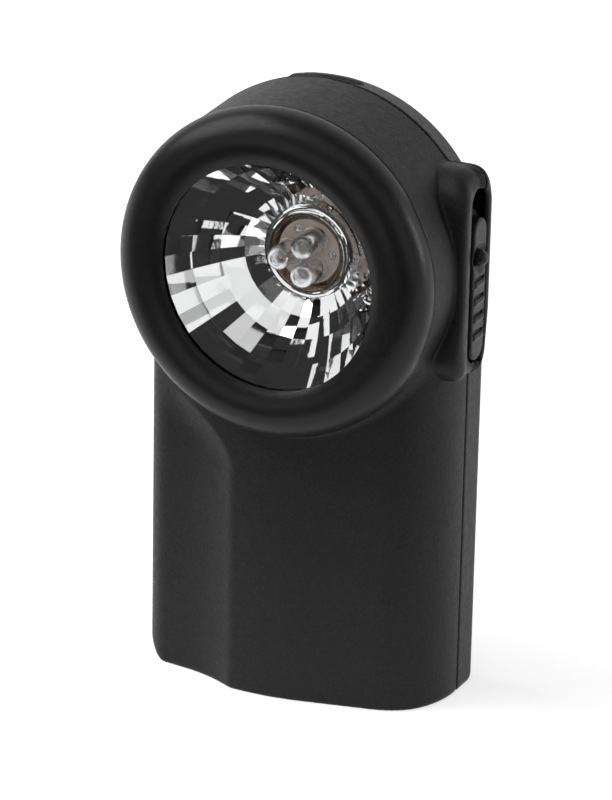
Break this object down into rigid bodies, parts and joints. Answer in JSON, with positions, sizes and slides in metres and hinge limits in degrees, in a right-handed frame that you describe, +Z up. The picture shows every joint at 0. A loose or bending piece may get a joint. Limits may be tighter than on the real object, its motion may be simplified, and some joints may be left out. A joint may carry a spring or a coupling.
{
  "type": "flashlight",
  "caption": "Flat pocket LED flashlight with a round head, faceted reflector, side slide switch with flash button, and a hinged back cover over a flat battery.",
  "frame": {"origin": "centre of the flat base, in line with the lens axis", "axes": "+Z up along the height, lens facing -Y, switch on the +X side"},
  "size_m": [0.076, 0.0405, 0.1348],
  "materials": {
    "shell_black": "fine spark-textured black",
    "bezel_black": "satin black",
    "slider_black": "semi-gloss black",
    "clear_lens": "clear polished",
    "clear_epoxy": "clear epoxy",
    "mirror_coat": "mirror metallised",
    "carrier_grey": "moulded dark grey",
    "board": "bare laminate with tinned pads",
    "resistor_black": "matte",
    "steel": "tinned",
    "contact_brass": "rolled sheet",
    "battery_print": "plain wrapped sleeve"
  },
  "bodies": {
    "case": {"front_shell": "shell_black", "lens": "clear_lens", "reflector": "mirror_coat", "led_carrier": "carrier_grey", "carrier_screws": "steel", "led_board": "board", "led_left": "clear_epoxy", "led_upper": "clear_epoxy", "led_lower": "clear_epoxy", "led_leads": "steel", "led_resistors": "resistor_black", "contact_plus": "contact_brass", "contact_minus": "contact_brass", "switch_blade": "contact_brass", "strip_rivets": "contact_brass", "battery_sleeve": "battery_print", "battery_cap": "resistor_black", "battery_short_tab": "contact_brass", "battery_long_tab": "contact_brass"},
    "bezel": {"bezel_ring": "bezel_black"},
    "cover": {"rear_cover": "shell_black"},
    "slider": {"switch_slider": "slider_black", "slider_contact": "contact_brass"},
    "button": {"flash_button": "slider_black"}
  },
  "joints": [
    {"name": "bezel_turn", "type": "hinge", "parent": "case", "child": "bezel", "pos_m": [0, -0.0175, 0.098], "axis": [0, -1, 0], "range_deg": [0, 30]},
    {"name": "cover_open", "type": "hinge", "parent": "case", "child": "cover", "pos_m": [0, 0.00665, 0.0019], "axis": [-1, 0, 0], "range_deg": [0, 70]},
    {"name": "switch_slide", "type": "slide", "parent": "case", "child": "slider", "axis": [0, 0, 1], "range_m": [0, 0.006]},
    {"name": "button_press", "type": "slide", "parent": "slider", "child": "button", "axis": [-1, 0, 0], "range_m": [0, 0.0012], "stiffness_N_per_m": 800}
  ]
}
